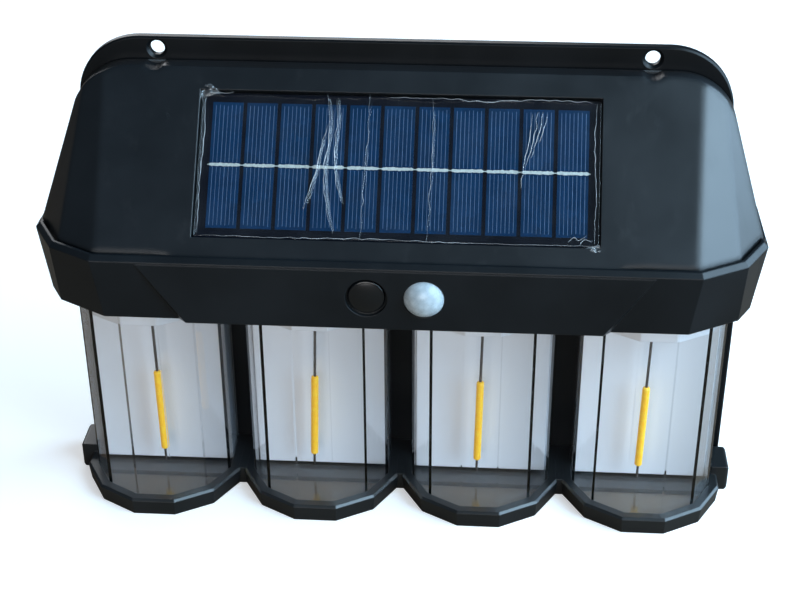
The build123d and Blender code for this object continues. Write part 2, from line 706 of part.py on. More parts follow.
def control_board():
    """Upright circuit board with two screw holes."""
    board = block((-BOARD_HALF, BOARD_HALF), (BOARD_FRONT, BOARD_BACK), (BOARD_LOW, BOARD_HIGH))
    for side in (-1, 1):
        board -= board_hole(side, FIT, BOARD_FRONT - OVER)
    return board


def board_components():
    """Two chips, a coil and two capacitors on the board's rear face."""
    places = [(x, CHIP_SIZE) for x in CHIP_X] + [(COIL_X, COIL_SIZE)]
    parts = [Pos(x, BOARD_BACK + size[1] / 2, PART_Z) * Box(*size) for x, size in places]
    return parts + [rod(x, PART_Z, CAPACITOR_R, BOARD_BACK, BOARD_BACK + CAPACITOR_H) for x in CAPACITOR_X]


def board_screws():
    """Two screws that hold the board on its standoffs."""
    back = BOARD_BACK + BOARD_SCREW["head_t"]
    return [screw(side * BOARD_SCREW_X, back, BOARD_SCREW_Z, **BOARD_SCREW) for side in (-1, 1)]


def battery_cell():
    """Rechargeable cell with its raised positive button on the right."""
    lying = Plane((CELL_LEFT, CELL_Y, CELL_Z), z_dir=(1, 0, 0))
    cell = extrude(lying * Circle(CELL_R), amount=CELL_LENGTH - CELL_BUTTON_H)
    return fillet(cell.edges(), CELL_EDGE_R) + extrude(lying * Circle(CELL_BUTTON_R), amount=CELL_LENGTH)


def battery_holder():
    """Open cradle on four feet."""
    body = block((-HOLDER_HALF, HOLDER_HALF), (HOLDER_FRONT, HOLDER_REAR), (HOLDER_LOW, CELL_Z + HOLDER_RIM))
    lying = Plane((HOLDER_LEFT_END, CELL_Y, CELL_Z), z_dir=(1, 0, 0))
    body -= extrude(lying * Circle(CELL_R + CELL_PLAY), amount=HOLDER_RIGHT_END - HOLDER_LEFT_END)
    above = CELL_Z + CELL_R
    body -= block((HOLDER_LEFT_END + HOLDER_END, HOLDER_RIGHT_END - HOLDER_END),
                  (HOLDER_FRONT - OVER, HOLDER_REAR + OVER), (CELL_Z + HOLDER_SIDE_CUT, above))
    mouth = (CELL_Y - HOLDER_MOUTH_HALF, CELL_Y + HOLDER_MOUTH_HALF)
    body -= block((HOLDER_LEFT_END, HOLDER_RIGHT_END), mouth, (CELL_Z, above))
    for x in (-HOLDER_HALF + HOLDER_FOOT_INSET, HOLDER_HALF - HOLDER_FOOT_INSET):
        for y in (HOLDER_FRONT + HOLDER_FOOT_INSET, HOLDER_REAR - HOLDER_FOOT_INSET):
            body += post(x, y, HOLDER_FOOT_R, DECK_TOP, HOLDER_LOW)
    return body


def battery_contacts():
    """Flat end contacts of the holder."""
    half = CONTACT_W / 2
    y_range, z_range = (CELL_Y - half, CELL_Y + half), (CELL_Z - half, CELL_Z + half)
    left = (HOLDER_LEFT_END, HOLDER_LEFT_END + CONTACT_T)
    right = (HOLDER_RIGHT_END - CONTACT_T, HOLDER_RIGHT_END)
    return [block(ends, y_range, z_range) for ends in (left, right)]


def battery_spring():
    """Coil that presses the cell against the positive contact."""
    start = HOLDER_LEFT_END + CONTACT_T + SPRING_GAP
    length = CELL_LEFT - SPRING_GAP - start
    coil = Helix(pitch=length / SPRING_TURNS, height=length, radius=SPRING_R)
    path = Pos(start, CELL_Y, CELL_Z) * (Rot(0, 90, 0) * coil)
    return sweep(Plane(path @ 0, z_dir=path % 0) * Circle(SPRING_WIRE_R), path=path)


def board_top(x):
    """Point above the board's top edge where a wire ends."""
    return (x, BOARD_FRONT + BOARD_T / 2, BOARD_HIGH + WIRE_LIFT)


def panel_wires():
    """Pair from the panel's underside, over the cell, to the board's top edge."""
    frame = slope_frame()
    start = frame.origin - frame.z_dir * POCKET_DEPTH
    below = start - frame.z_dir * (POCKET_FLOOR + WIRE_LIFT)
    pair = []
    for x in PANEL_WIRE_X:
        run = [(x, y, z) for y, z in PANEL_WIRE_RUN]
        pair.append(wire([(x, start.Y, start.Z), (x, below.Y, below.Z)] + run + [board_top(x)]))
    return pair


def battery_wires():
    """One wire from each end contact to the board's top edge."""
    pair = []
    for at_contact, at_corner, in_front, at_board in (BATTERY_WIRE_LEFT, BATTERY_WIRE_RIGHT):
        run = [(x, y, z) for x, (y, z) in zip((at_corner, in_front), BATTERY_WIRE_RUN)]
        pair.append(wire([(at_contact, CELL_Y, CELL_Z + CONTACT_W * 0.6)] + run + [board_top(at_board)]))
    return pair


def lamp_wires():
    """One wire from each socket to the board's rear face, the outer two along the front of the deck."""
    low = DECK_TOP + SOCKET_FLANGE_T + WIRE_LIFT
    bundle = []
    for x in BAY_X:
        side = 1 if x > 0 else -1
        points = [(x, FILAMENT_Y, low), (x - side * 1.5, LAMP_WIRE_BEND_Y, low + FIT)]
        points.append((x - side * 5, LAMP_WIRE_FRONT_Y, low + 3 * FIT))
        end = LAMP_WIRE_INNER_END
        if abs(x) > PITCH:
            points.append((side * LAMP_WIRE_OUTER[0], LAMP_WIRE_OUTER[1], low + 3 * FIT))
            end = LAMP_WIRE_OUTER_END
        points.append((side * end, BOARD_BACK + WIRE_LIFT, LAMP_WIRE_END_Z))
        bundle.append(wire(points))
    return bundle


def main():
    """Write every piece to its own file."""
    pieces = {
        "back_plate": back_plate(),
        "head_cover": head_cover(),
        "fascia_housing": fascia_housing(),
        "lamp_deck": lamp_deck(),
        "base_tray": base_tray(),
        "head_gasket": head_gasket(),
        "filament_sockets": [Pos(x, 0, 0) * filament_socket() for x in BAY_X],
        "solar_board": solar_board(),
        "solar_cells": solar_cells(),
        "cell_tabbing": cell_tabbing(),
        "panel_resin": panel_resin(),
        "panel_film": panel_film(),
        "push_button": push_button(),
        "switch_body": switch_body(),
        "switch_plunger": switch_plunger(),
        "sensor_lens": sensor_lens(),
        "motion_sensor": motion_sensor(),
        "control_board": control_board(),
        "board_components": board_components(),
        "board_screws": board_screws(),
        "battery_cell": battery_cell(),
        "battery_holder": battery_holder(),
        "battery_contacts": battery_contacts(),
        "battery_spring": battery_spring(),
        "panel_wires": panel_wires(),
        "battery_wires": battery_wires(),
        "lamp_wires": lamp_wires(),
        "housing_screws": [screw(x, -HEAD_RELIEF, z, **BIG_SCREW) for x, z in big_screw_places()],
        "base_screws": [screw(x, -HEAD_RELIEF, TRAY_SCREW_Z, **SMALL_SCREW) for x in TRAY_SCREW_X],
    }
    leads = []
    for number, (x, angle) in enumerate(zip(BAY_X, FILAMENT_LEAN), start=1):
        pieces[f"lamp_shade_{number}"] = Pos(x, 0, 0) * shade()
        pieces[f"lamp_insert_{number}"] = Pos(x, 0, 0) * lamp_insert()
        pieces[f"filament_{number}"] = Pos(x, 0, 0) * filament(angle)
        leads += [Pos(x, 0, 0) * lead for lead in filament_lead_pair(angle)]
    pieces["filament_leads"] = leads
    os.makedirs("parts", exist_ok=True)
    for name, piece in pieces.items():
        solids = piece if isinstance(piece, list) else [piece]
        group = Compound(children=[Pos(0, 0, -HOLE_Z) * solid for solid in solids])
        export_step(group, f"parts/{name}.step")


main()
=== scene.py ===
import math
import random

import bpy
from mathutils import Matrix, Vector, noise


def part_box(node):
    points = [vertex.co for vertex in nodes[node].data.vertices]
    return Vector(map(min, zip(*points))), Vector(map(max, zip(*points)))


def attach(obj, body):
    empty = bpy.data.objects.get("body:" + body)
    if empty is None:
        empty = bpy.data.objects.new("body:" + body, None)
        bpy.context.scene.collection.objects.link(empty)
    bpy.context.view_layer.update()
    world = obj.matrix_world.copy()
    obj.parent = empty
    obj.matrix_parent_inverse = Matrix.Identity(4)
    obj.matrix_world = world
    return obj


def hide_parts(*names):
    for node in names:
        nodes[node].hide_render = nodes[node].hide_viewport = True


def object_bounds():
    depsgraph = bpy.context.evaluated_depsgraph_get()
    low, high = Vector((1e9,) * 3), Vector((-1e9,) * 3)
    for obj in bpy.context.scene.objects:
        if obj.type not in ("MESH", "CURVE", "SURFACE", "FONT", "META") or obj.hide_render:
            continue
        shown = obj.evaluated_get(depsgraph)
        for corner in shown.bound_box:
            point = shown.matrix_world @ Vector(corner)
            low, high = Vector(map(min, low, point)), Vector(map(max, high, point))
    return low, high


# A solar wall light seen from above and in front: satin black shell, four clear faceted lamps with
# yellow filaments in front of white reflectors, and a blue solar panel under a creased protective film.
# The frame is X to the viewer's right, Y into the wall, Z up, in metres. Sizes named below are in
# millimetres and angles in degrees, unless a line says otherwise.

MM = 0.001
SEED = 7

# Camera
CAMERA_PLACE = (27.23 * MM, -415.3 * MM, 164.8 * MM)
CAMERA_YAW = 3.918
CAMERA_PITCH = 30.674
CAMERA_ROLL = -0.23
LENS = 70.354
SENSOR = 36.0

# What the lights are turned to, in metres
LIT_PLACE = (0, 0, -0.06)

# Floor: half its side in metres, and its distance under the object
FLOOR = 6.0
FLOOR_GAP = 0.2

# Lamp bays, and the edge radius of their shades and reflectors
BAYS = range(1, 5)
BAY_PITCH = 50.0
SHADE_EDGE = 0.05
INSERT_EDGE = 0.3

# Rounding of the lamps' edges
WELD_GAP = 0.002
FLAT_ANGLE = 0.4
EDGE_ANGLE = 5.0
EDGE_SEGMENTS = 2

# Distance from the middle plane over which the head cover's creases turn soft
SOFT_FROM = 60.0
SOFT_TO = 68.0

# Solar cells, their printed fingers and the tinned ribbon across them
CELL_COUNT = 11
CELL_PITCH = 9.67
CELL_WIDTH = 8.57
CELL_HEIGHT = 36.3
FINGERS = 7
FINGER_WIDTH = 0.16
FINGER_T = 0.02
FINGER_END = 0.7
FINGER_SPLIT = 0.5
FINGER_SHORT = 0.4
RIBBON_HALF = 0.44
RIBBON_T = 0.12
RIBBON_STEPS = 34
RIBBON_OVER = 0.1
THREAD_HALF = 0.12
THREAD_T = 0.06
SUNK = 0.01

# Protective film
FILM_T = 0.06
FILM_STEP = 0.45
FILM_RIM = 2.2
FILM_RIM_LIFT = 0.55
FILM_WAVE = 0.16
FILM_RIPPLE = 0.05
CREASE_HEIGHT = 0.75
CREASE_WIDTH = 0.42
FAINT_HEIGHT = 0.28
FAINT_WIDTH = 0.3
CURVE_STEPS = 24
FLAP_LEVEL = 0.35

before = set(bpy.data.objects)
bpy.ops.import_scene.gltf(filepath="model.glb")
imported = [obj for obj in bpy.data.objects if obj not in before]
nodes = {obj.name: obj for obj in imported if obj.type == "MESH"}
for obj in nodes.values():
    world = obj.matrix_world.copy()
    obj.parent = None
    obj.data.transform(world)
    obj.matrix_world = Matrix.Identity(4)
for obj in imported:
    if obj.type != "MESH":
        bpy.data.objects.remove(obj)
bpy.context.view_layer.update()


# ---- node graphs ----

class Graph:
    """A material under construction, with object coordinates ready to use."""

    def __init__(self, name):
        self.material = bpy.data.materials.new(name)
        self.material.use_nodes = True
        self.tree = self.material.node_tree
        self.tree.nodes.clear()
        self.output = self.tree.nodes.new("ShaderNodeOutputMaterial")
        self.place = self.add("ShaderNodeTexCoord").outputs["Object"]

    def add(self, kind, **inputs):
        node = self.tree.nodes.new(kind)
        for key, value in inputs.items():
            if hasattr(node, key) and key.islower() and key not in node.inputs:
                setattr(node, key, value)
                continue
            self.plug(node.inputs[key.replace("_", " ")], value)
        return node

    def plug(self, socket, value):
        if isinstance(value, bpy.types.NodeSocket):
            self.tree.links.new(value, socket)
        else:
            socket.default_value = value

    def noise(self, size, detail=3.0, rough=0.5, place=None):
        """Noise value whose blobs are about `size` millimetres."""
        node = self.add("ShaderNodeTexNoise", Scale=1 / (size * MM), Detail=detail, Roughness=rough)
        self.plug(node.inputs["Vector"], place or self.place)
        return node.outputs["Fac"]

    def spread(self, value, low, high, to_low, to_high):
        """Map a value's range to another one, clamped."""
        node = self.add("ShaderNodeMapRange", Value=value)
        for key, number in (("From Min", low), ("From Max", high), ("To Min", to_low), ("To Max", to_high)):
            self.plug(node.inputs[key], number)
        return node.outputs["Result"]

    def math(self, operation, a, b=0.0):
        node = self.add("ShaderNodeMath", operation=operation)
        self.plug(node.inputs[0], a)
        self.plug(node.inputs[1], b)
        return node.outputs[0]

    def mix(self, share, a, b):
        """Mix two colours."""
        node = self.add("ShaderNodeMix", data_type="RGBA")
        for index, value in ((0, share), (6, a), (7, b)):
            self.plug(node.inputs[index], (*value, 1.0) if isinstance(value, tuple) else value)
        return node.outputs[2]

    def bump(self, height, strength, distance, normal=None):
        node = self.add("ShaderNodeBump", Height=height, Strength=strength, Distance=distance * MM)
        if normal is not None:
            self.plug(node.inputs["Normal"], normal)
        return node.outputs["Normal"]

    def stretched(self, x, y, z):
        """Object coordinates scaled per axis."""
        node = self.add("ShaderNodeMapping")
        node.inputs["Scale"].default_value = (x, y, z)
        self.plug(node.inputs["Vector"], self.place)
        return node.outputs["Vector"]

    def rounded(self, radius):
        """Shading normal that rounds the edges over a radius in millimetres."""
        soft = self.add("ShaderNodeBevel", Radius=radius * MM)
        soft.samples = 4
        return soft.outputs["Normal"]

    def glance(self, normal, straight=0.036):
        """Mirrored share of a clear surface, the same from both of its sides."""
        node = self.add("ShaderNodeVectorMath", operation="DOT_PRODUCT")
        self.plug(node.inputs[0], self.add("ShaderNodeNewGeometry").outputs["Incoming"])
        self.plug(node.inputs[1], normal)
        away = self.math("SUBTRACT", 1.0, self.math("ABSOLUTE", node.outputs["Value"]))
        return self.math("ADD", self.math("MULTIPLY", self.math("POWER", away, 5.0), 1 - straight), straight)

    def beyond(self, near, far):
        """0 within `near` millimetres of the middle plane, 1 from `far` on."""
        across = self.add("ShaderNodeSeparateXYZ", Vector=self.place).outputs["X"]
        return self.spread(self.math("ABSOLUTE", across), near * MM, far * MM, 0.0, 1.0)

    def blended(self, share, a, b):
        """Blend two normals."""
        node = self.add("ShaderNodeMix", data_type="VECTOR")
        for index, value in ((0, share), (4, a), (5, b)):
            self.plug(node.inputs[index], value)
        return node.outputs[1]

    def edge(self, radius, low=0.02, high=0.25):
        """1 on convex edges narrower than the radius in millimetres, 0 elsewhere."""
        soft = self.rounded(radius)
        flat = self.add("ShaderNodeNewGeometry").outputs["Normal"]
        node = self.add("ShaderNodeVectorMath", operation="DOT_PRODUCT")
        self.plug(node.inputs[0], soft)
        self.plug(node.inputs[1], flat)
        return self.spread(self.math("SUBTRACT", 1.0, node.outputs["Value"]), low, high, 0.0, 1.0)

    def principled(self, **inputs):
        return self.add("ShaderNodeBsdfPrincipled", **inputs)

    def finish(self, shader):
        if not isinstance(shader, bpy.types.NodeSocket):
            shader = shader.outputs[0]
        self.tree.links.new(shader, self.output.inputs["Surface"])
        return self.material


def scaled(color, factor):
    return tuple(c * factor for c in color)


def plastic(name, color, roughness=0.4, grain=0.25, grain_depth=0.012, patch=25.0, wear=0.5, dust=0.0,
            specular=0.5, coat=0.0, round_edges=0.0, round_ends=0.0):
    """Moulded plastic: fine spark texture, slow colour and gloss drift, worn edges and a little dust."""
    g = Graph(name)
    drift = g.noise(patch)
    fine = g.noise(grain, 2.0, 0.6)
    scuff = g.noise(6.0, 6.0, 0.7, g.stretched(1, 1, 0.3))
    base = g.mix(g.spread(drift, 0.35, 0.65, 0.0, 1.0), scaled(color, 0.85), scaled(color, 1.2))
    base = g.mix(g.spread(scuff, 0.62, 0.8, 0.0, 0.25), base, scaled(color, 1.8))
    if wear:
        rubbed = g.math("MULTIPLY", g.edge(0.45), g.spread(g.noise(3.0, 4.0), 0.35, 0.7, 0.25, 1.0))
        lifted = tuple(c * 2.2 + 0.012 for c in color)
        base = g.mix(g.math("MULTIPLY", rubbed, wear), base, lifted)
    if dust:
        specks = g.add("ShaderNodeTexVoronoi", Scale=1 / (9.0 * MM), Vector=g.place)
        near = g.spread(specks.outputs["Distance"], 0.018, 0.034, 1.0, 0.0)
        chosen = g.math("GREATER_THAN", g.math("MULTIPLY", specks.outputs["Color"], 1.0), 1.0 - dust)
        base = g.mix(g.math("MULTIPLY", near, chosen), base, (0.45, 0.47, 0.5))
    gloss = g.math("ADD", g.spread(drift, 0.3, 0.7, roughness - 0.035, roughness + 0.035),
                   g.spread(scuff, 0.55, 0.8, 0.0, 0.1))
    rounded = g.rounded(round_edges) if round_edges else None
    if round_ends:
        rounded = g.blended(g.beyond(SOFT_FROM, SOFT_TO), rounded, g.rounded(round_ends))
    normal = g.bump(drift, 0.12, 0.5, rounded)
    normal = g.bump(fine, 0.35, grain_depth, normal)
    shader = g.principled(Base_Color=base, Roughness=gloss, Normal=normal)
    shader.inputs["Specular IOR Level"].default_value = specular
    shader.inputs["Coat Weight"].default_value = coat
    shader.inputs["Coat Roughness"].default_value = 0.08
    return g.finish(shader)


def metal(name, color, roughness, brush=(1, 1, 1), tarnish=0.4):
    """Plated or drawn metal with fine lines along one axis and uneven tarnish."""
    g = Graph(name)
    lines = g.noise(0.3, 4.0, 0.7, g.stretched(*brush))
    stain = g.noise(2.5, 5.0, 0.6)
    base = g.mix(g.spread(stain, 0.4, 0.75, 0.0, tarnish), color, scaled(color, 0.35))
    gloss = g.spread(lines, 0.3, 0.7, roughness - 0.08, roughness + 0.12)
    shader = g.principled(Base_Color=base, Roughness=gloss, Metallic=1.0, Normal=g.bump(lines, 0.3, 0.02))
    return g.finish(shader)


def let_light_through(g, shader, share=0.92):
    """Shadow and indirect diffuse rays pass straight through, so that what is behind stays lit."""
    path = g.add("ShaderNodeLightPath")
    soft = g.math("MAXIMUM", path.outputs["Is Shadow Ray"], path.outputs["Is Diffuse Ray"])
    clear = g.add("ShaderNodeBsdfTransparent", Color=(share, share, share * 1.01, 1.0))
    both = g.add("ShaderNodeMixShader", Fac=soft)
    g.tree.links.new(shader.outputs[0], both.inputs[1])
    g.tree.links.new(clear.outputs[0], both.inputs[2])
    return both


def clear_plastic(name, tint=(0.965, 0.975, 0.985), roughness=0.03):
    """Clear moulded plastic with faint flow lines and fine scratches."""
    g = Graph(name)
    flow = g.noise(4.0, 2.0, 0.5, g.stretched(1, 1, 0.12))
    scratch = g.noise(0.5, 3.0, 0.7, g.stretched(1.5, 1.5, 0.1))
    normal = g.bump(flow, 0.25, 0.05)
    normal = g.bump(scratch, 0.08, 0.01, normal)
    haze = g.spread(g.noise(9.0, 5.0, 0.7), 0.45, 0.8, roughness, roughness + 0.07)
    shader = g.principled(Base_Color=(*tint, 1.0), Roughness=haze, Normal=normal, IOR=1.28)
    shader.inputs["Transmission Weight"].default_value = 1.0
    shader.inputs["Coat Weight"].default_value = 0.5
    shader.inputs["Coat Roughness"].default_value = 0.03
    return g.finish(let_light_through(g, shader))


def white_gloss(name, color=(0.92, 0.945, 0.975)):
    """Semi-gloss white sheet with a soft flow pattern, with painted shade on its sideways faces and towards
    the right of each bay.
    """
    g = Graph(name)
    flow = g.noise(14.0, 2.0, 0.5, g.stretched(1, 1, 0.35))
    fine = g.noise(0.8, 3.0, 0.6)
    base = g.mix(g.spread(flow, 0.35, 0.65, 0.0, 1.0), scaled(color, 0.95), color)
    # Painted shade: faces turned sideways, the reflector's side wings, are darkened to 0.6 of the white.
    facing = g.add("ShaderNodeNewGeometry").outputs["Normal"]
    sideways = g.add("ShaderNodeSeparateXYZ", Vector=facing).outputs["X"]
    painted_side_shade = g.math("GREATER_THAN", g.math("ABSOLUTE", sideways), 0.8)
    base = g.mix(painted_side_shade, base, scaled(color, 0.6))
    # Painted shade across each bay: the white darkens to 0.6 towards the bay's right side.
    across = g.add("ShaderNodeSeparateXYZ", Vector=g.place).outputs["X"]
    painted_bay_shade = g.math("FRACT", g.math("ADD", g.math("DIVIDE", across, BAY_PITCH * MM), 2.0))
    base = g.mix(g.spread(painted_bay_shade, 0.5, 0.92, 0.0, 1.0), base, scaled(color, 0.6))
    shader = g.principled(Base_Color=base, Roughness=g.spread(fine, 0.3, 0.7, 0.16, 0.26))
    g.plug(shader.inputs["Normal"], g.bump(fine, 0.08, 0.02, g.bump(flow, 0.2, 0.25)))
    shader.inputs["Coat Weight"].default_value = 0.35
    shader.inputs["Coat Roughness"].default_value = 0.08
    return g.finish(shader)


def phosphor(name):
    """Yellow silicone coating of a filament: slightly lumpy, translucent and a touch self-lit."""
    g = Graph(name)
    lumps = g.noise(1.6, 3.0, 0.6)
    fine = g.noise(0.25, 2.0, 0.6)
    base = g.mix(g.spread(lumps, 0.35, 0.65, 0.0, 1.0), (0.93, 0.49, 0.02), (1.0, 0.62, 0.05))
    shader = g.principled(Base_Color=base, Roughness=g.spread(fine, 0.3, 0.7, 0.38, 0.55))
    shader.inputs["Subsurface Weight"].default_value = 0.25
    shader.inputs["Subsurface Radius"].default_value = (0.9 * MM, 0.5 * MM, 0.1 * MM)
    shader.inputs["Subsurface Scale"].default_value = 1.0
    shader.inputs["Emission Color"].default_value = (1.0, 0.55, 0.03, 1.0)
    shader.inputs["Emission Strength"].default_value = 0.22
    g.plug(shader.inputs["Normal"], g.bump(fine, 0.15, 0.02, g.bump(lumps, 0.4, 0.15)))
    return g.finish(shader)


def silicon(name):
    """Blue cell with crystal patches and a thin glassy coat."""
    g = Graph(name)
    crystals = g.add("ShaderNodeTexVoronoi", Scale=1 / (3.2 * MM), Vector=g.place).outputs["Color"]
    tone = g.add("ShaderNodeSeparateColor", Color=crystals).outputs[0]
    cloud = g.noise(18.0, 3.0)
    base = g.mix(tone, (0.0003, 0.019, 0.055), (0.0006, 0.027, 0.078))
    base = g.mix(g.spread(cloud, 0.4, 0.65, 0.0, 0.6), base, (0.0015, 0.021, 0.063))
    gloss = g.spread(tone, 0.0, 1.0, 0.3, 0.42)
    shader = g.principled(Base_Color=base, Roughness=gloss, Normal=g.bump(g.noise(0.4), 0.2, 0.01))
    shader.inputs["Specular IOR Level"].default_value = 0.13
    return g.finish(shader)


def solder(name, color=(0.62, 0.66, 0.62)):
    """Dull tinned ribbon with blobs of solder."""
    g = Graph(name)
    blob = g.noise(1.1, 4.0, 0.7)
    base = g.mix(g.spread(blob, 0.4, 0.7, 0.0, 0.75), color, scaled(color, 0.55))
    shader = g.principled(Base_Color=base, Metallic=0.35, Roughness=g.spread(blob, 0.3, 0.7, 0.35, 0.6))
    g.plug(shader.inputs["Normal"], g.bump(blob, 0.6, 0.15))
    return g.finish(shader)


def sheet(name, haze=0.015, gloss=0.9, milk=(0.75, 0.78, 0.8)):
    """Thin clear film: passes light straight on, mirrors softly, and carries a faint uneven haze."""
    g = Graph(name)
    scratch = g.noise(1.2, 6.0, 0.75, g.stretched(2.2, 0.5, 0.5))
    cloud = g.noise(11.0, 4.0, 0.6)
    normal = g.bump(g.noise(7.0, 3.0, 0.6), 0.35, 0.8)
    normal = g.bump(scratch, 0.2, 0.03, normal)
    facing = g.glance(normal)
    mirror = g.add("ShaderNodeBsdfGlossy", Color=(1, 1, 1, 1), Roughness=0.12, Normal=normal)
    clear = g.add("ShaderNodeBsdfTransparent", Color=(0.97, 0.975, 0.98, 1.0))
    white = g.add("ShaderNodeBsdfDiffuse", Color=(*milk, 1.0), Normal=normal)
    share = g.math("ADD", g.spread(cloud, 0.4, 0.75, haze * 0.3, haze * 1.5),
                   g.spread(scratch, 0.66, 0.85, 0.0, haze * 3))
    hazy = g.add("ShaderNodeMixShader", Fac=share)
    g.tree.links.new(clear.outputs[0], hazy.inputs[1])
    g.tree.links.new(white.outputs[0], hazy.inputs[2])
    both = g.add("ShaderNodeMixShader", Fac=g.math("MULTIPLY", facing, gloss))
    g.tree.links.new(hazy.outputs[0], both.inputs[1])
    g.tree.links.new(mirror.outputs[0], both.inputs[2])
    return g.finish(both)


def pearl(name):
    """Translucent polyethylene lens, its inner facets showing as faint patches."""
    g = Graph(name)
    cells = g.add("ShaderNodeTexVoronoi", feature="SMOOTH_F1", Scale=1 / (2.3 * MM), Vector=g.place)
    cells.inputs["Smoothness"].default_value = 0.25
    ring = g.spread(cells.outputs["Distance"], 0.15, 0.6, 0.0, 1.0)
    base = g.mix(ring, (0.48, 0.555, 0.6), (0.37, 0.435, 0.475))
    shader = g.principled(Base_Color=base, Roughness=g.spread(g.noise(0.5), 0.3, 0.7, 0.24, 0.34))
    shader.inputs["Subsurface Weight"].default_value = 0.5
    shader.inputs["Subsurface Radius"].default_value = (1.5 * MM, 1.6 * MM, 1.7 * MM)
    shader.inputs["Subsurface Scale"].default_value = 1.0
    g.plug(shader.inputs["Normal"], g.bump(g.noise(0.6), 0.06, 0.02, g.bump(ring, 0.15, 0.1)))
    return g.finish(shader)


def board(name, low, high):
    """Solder mask over copper tracks, slightly raised."""
    g = Graph(name)
    tracks = g.add("ShaderNodeTexBrick", Scale=1 / (9.0 * MM), Vector=g.place)
    tracks.inputs["Mortar Size"].default_value = 0.04
    line = tracks.outputs["Fac"]
    fine = g.noise(0.6)
    shader = g.principled(Base_Color=g.mix(line, low, high), Roughness=g.spread(fine, 0.3, 0.7, 0.25, 0.4))
    g.plug(shader.inputs["Normal"], g.bump(fine, 0.1, 0.02, g.bump(line, 0.3, 0.04)))
    return g.finish(shader)


def rubber(name, color, roughness=0.6, size=0.5):
    """Soft skin: foam seal, wire insulation or shrink sleeve."""
    g = Graph(name)
    pores = g.noise(size, 4.0, 0.7)
    base = g.mix(g.spread(pores, 0.35, 0.65, 0.0, 1.0), scaled(color, 0.75), scaled(color, 1.15))
    gloss = g.spread(pores, 0.3, 0.7, roughness - 0.1, roughness + 0.1)
    shader = g.principled(Base_Color=base, Roughness=gloss)
    shader.inputs["Sheen Weight"].default_value = 0.15
    g.plug(shader.inputs["Normal"], g.bump(pores, 0.3, size * 0.2))
    return g.finish(shader)


BLACK = (0.0058, 0.0075, 0.0092)
looks = {
    "shell": plastic("satin_black", BLACK, 0.31, dust=0.035, specular=0.56, round_edges=0.4,
                     round_ends=3.2),
    "fascia": plastic("satin_black_fascia", BLACK, 0.31, dust=0.035, specular=0.28, round_edges=0.5),
    "tray": plastic("satin_black_tray", (0.007, 0.0085, 0.0095), 0.33, dust=0.03, specular=0.6,
                    round_edges=0.3),
    "plate": plastic("satin_black_plate", scaled(BLACK, 0.5), 0.33, dust=0.02, specular=0.2,
                     round_edges=0.3),
    "inner": plastic("moulded_black", (0.02, 0.02, 0.022), 0.5, wear=0.2),
    "button": plastic("polished_black", (0.003, 0.004, 0.005), 0.2, grain_depth=0.004, wear=0.2,
                      specular=0.35, coat=0.35),
    "component": plastic("component_black", (0.02, 0.02, 0.02), 0.45, wear=0.4),
    "panel": plastic("panel_black", (0.0015, 0.0025, 0.006), 0.4, wear=0.1, specular=0.1),
    "shade": clear_plastic("clear_shade"),
    "insert": white_gloss("white_insert"),
    "filament": phosphor("filament_phosphor"),
    "lead": metal("plated_lead", (0.17, 0.15, 0.14), 0.38, (3, 3, 0.2)),
    "cells": silicon("solar_silicon"),
    "fingers": solder("printed_silver", (0.10, 0.17, 0.28)),
    "ribbon": solder("tinned_ribbon"),
    "resin": sheet("clear_resin", haze=0.001, gloss=0.12),
    "film": sheet("clear_film", haze=0.003, gloss=0.3),
    "flap": sheet("film_flap", haze=0.1, gloss=1.0, milk=(0.85, 0.88, 0.9)),
    "fold": sheet("film_fold", haze=0.35, gloss=1.0, milk=(0.85, 0.88, 0.9)),
    "lens": pearl("pearl_lens"),
    "can": metal("plated_can", (0.62, 0.62, 0.6), 0.28, (1, 1, 3)),
    "board": board("board_green", (0.012, 0.09, 0.03), (0.02, 0.16, 0.055)),
    "sleeve": rubber("shrink_sleeve", (0.05, 0.2, 0.5), 0.3, 2.0),
    "nickel": metal("nickel", (0.7, 0.68, 0.62), 0.25, (1, 3, 3)),
    "screw": metal("zinc_screw", (0.56, 0.56, 0.57), 0.32, (3, 3, 3)),
    "wire": rubber("wire_skin", (0.5, 0.03, 0.025), 0.45, 0.8),
    "seal": rubber("foam_seal", (0.02, 0.02, 0.02), 0.85, 0.35),
}


def paint(piece, look):
    """Give every slot of a piece one look."""
    piece.data.materials.clear()
    piece.data.materials.append(looks[look])


# ---- CAD nodes: finish and softened edges ----

def soften(piece, width):
    """Merge the flat triangles, round the sharp edges and shade by area."""
    mesh = piece.data
    if "custom_normal" in mesh.attributes:
        mesh.attributes.remove(mesh.attributes["custom_normal"])
    mesh.shade_smooth()
    weld = piece.modifiers.new("weld", "WELD")
    weld.merge_threshold = WELD_GAP * MM
    flat = piece.modifiers.new("flat", "DECIMATE")
    flat.decimate_type = "DISSOLVE"
    flat.angle_limit = math.radians(FLAT_ANGLE)
    bevel = piece.modifiers.new("round", "BEVEL")
    bevel.width = width * MM
    bevel.segments = EDGE_SEGMENTS
    bevel.limit_method = "ANGLE"
    bevel.angle_limit = math.radians(EDGE_ANGLE)
    bevel.use_clamp_overlap = False
    weighted = piece.modifiers.new("shade", "WEIGHTED_NORMAL")
    weighted.weight = 100
    weighted.keep_sharp = False


